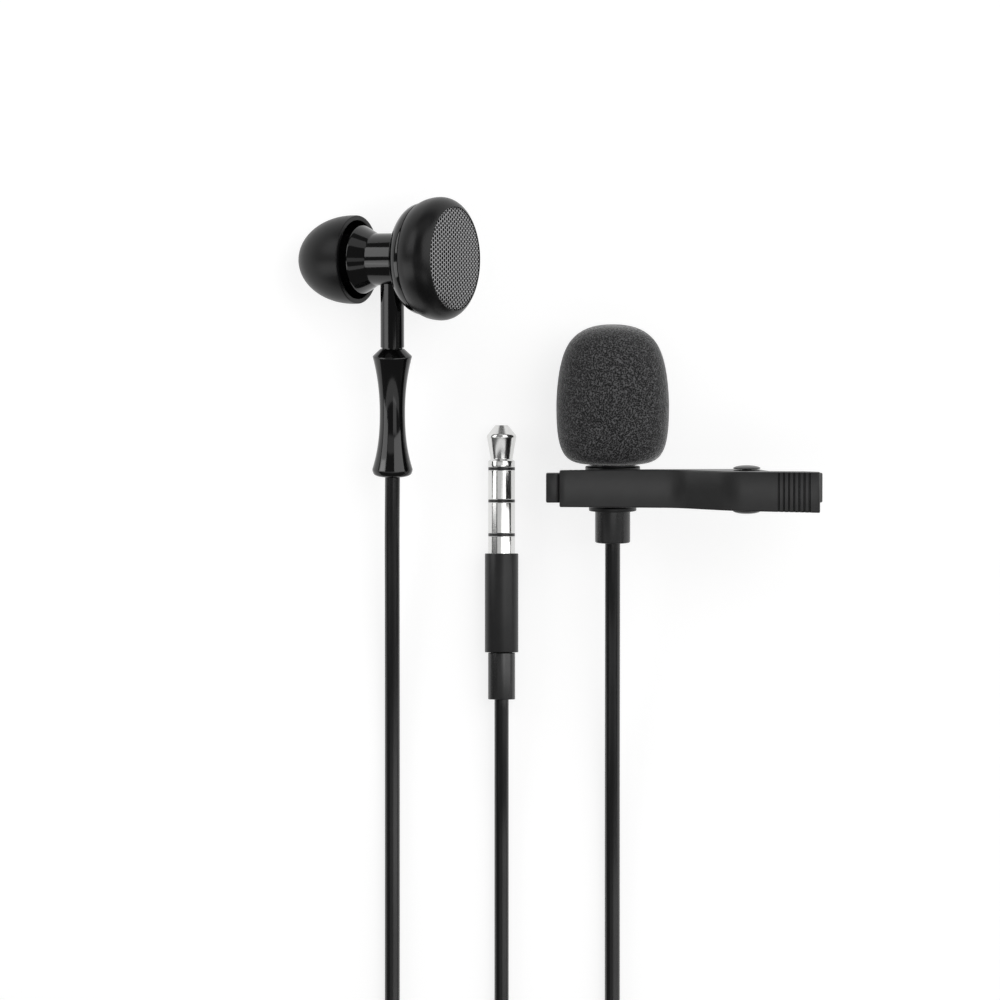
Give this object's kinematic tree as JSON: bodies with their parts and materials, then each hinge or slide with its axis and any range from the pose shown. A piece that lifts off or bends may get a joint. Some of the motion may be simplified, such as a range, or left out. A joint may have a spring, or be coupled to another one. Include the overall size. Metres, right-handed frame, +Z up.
{
  "type": "lavalier microphone",
  "caption": "Lapel microphone with foam windscreen and spring clip, wired with an in-ear monitoring earphone to a mini-jack plug through a splitter, spare cord coiled.",
  "frame": {"origin": "middle of the footprint of the microphone, clip and earphone, on the table", "axes": "+Y towards the foam's top and the plug's tip, +Z up from the table, +X from the earphone to the clip's thumb pads"},
  "size_m": [0.0802, 0.163, 0.0191],
  "materials": {
    "foam": "open-cell foam, matt",
    "clip_black": "satin black",
    "spring_steel": "bright wire",
    "housing_black": "satin black",
    "relief_black": "satin black",
    "cord_black": "satin black",
    "gloss_black": "gloss black",
    "silicone": "soft matt black",
    "nickel": "polished nickel",
    "mesh_steel": "woven mesh",
    "insulator": "black",
    "board": "circuit board",
    "copper": "enamelled wire",
    "film": "thin film",
    "tie_black": "hook-and-loop strip"
  },
  "bodies": {
    "corded_set": {"mic_housing": "housing_black", "mic_head_cap": "housing_black", "mic_capsule": "nickel", "mic_capsule_gasket": "silicone", "mic_capsule_board": "board", "mic_strain_relief": "relief_black", "ear_bezel": "gloss_black", "ear_body_shell": "gloss_black", "ear_grille": "mesh_steel", "ear_neck": "gloss_black", "ear_nozzle_mesh": "mesh_steel", "ear_driver_frame": "spring_steel", "ear_driver_magnet": "nickel", "ear_voice_coil": "copper", "ear_diaphragm": "film", "ear_board": "board", "ear_stem": "gloss_black", "ear_strain_relief": "relief_black", "plug_tip": "nickel", "plug_ring_1": "nickel", "plug_ring_2": "nickel", "plug_sleeve": "nickel", "plug_insulator_1": "insulator", "plug_insulator_2": "insulator", "plug_insulator_3": "insulator", "plug_housing": "housing_black", "plug_boot": "relief_black", "splitter_lower_shell": "housing_black", "splitter_upper_shell": "housing_black", "splitter_board": "board", "mic_cord_run": "cord_black", "mic_cord_coil": "cord_black", "mic_cord_tail": "cord_black", "mic_cord_tie": "tie_black", "ear_cord_run": "cord_black", "ear_cord_coil": "cord_black", "ear_cord_tail": "cord_black", "ear_cord_tie": "tie_black", "plug_cord_run": "cord_black", "plug_cord_coil": "cord_black", "plug_cord_tail": "cord_black", "plug_cord_tie": "tie_black"},
    "clip_base": {"clip_base_lever": "clip_black", "clip_holder_ring": "clip_black", "clip_hinge_pin": "clip_black", "clip_spring": "spring_steel"},
    "clip_lever": {"clip_thumb_lever": "clip_black"},
    "windscreen": {"windscreen_foam": "foam"},
    "ear_tip_body": {"ear_tip": "silicone"}
  },
  "joints": [
    {"name": "clip_swivel", "type": "hinge", "parent": "corded_set", "child": "clip_base", "pos_m": [0.00658, -0.0148, 0.00636], "axis": [0, 0.9971, 0.0767], "range_deg": [-80, 120]},
    {"name": "clip_opening", "type": "hinge", "parent": "clip_base", "child": "clip_lever", "pos_m": [0.0232, -0.01495, 0.01377], "axis": [0, 0.9971, 0.0767], "range_deg": [0, 28], "stiffness_Nm_per_rad": 0.08, "springref_deg": -34.38, "deforming": ["clip_spring"]},
    {"name": "windscreen_slide", "type": "slide", "parent": "corded_set", "child": "windscreen", "axis": [0, 0.9971, 0.0767], "range_m": [0, 0.008]},
    {"name": "ear_tip_slide", "type": "slide", "parent": "corded_set", "child": "ear_tip_body", "axis": [-0.8788, 0, -0.4772], "range_m": [0, 0.0065]}
  ]
}
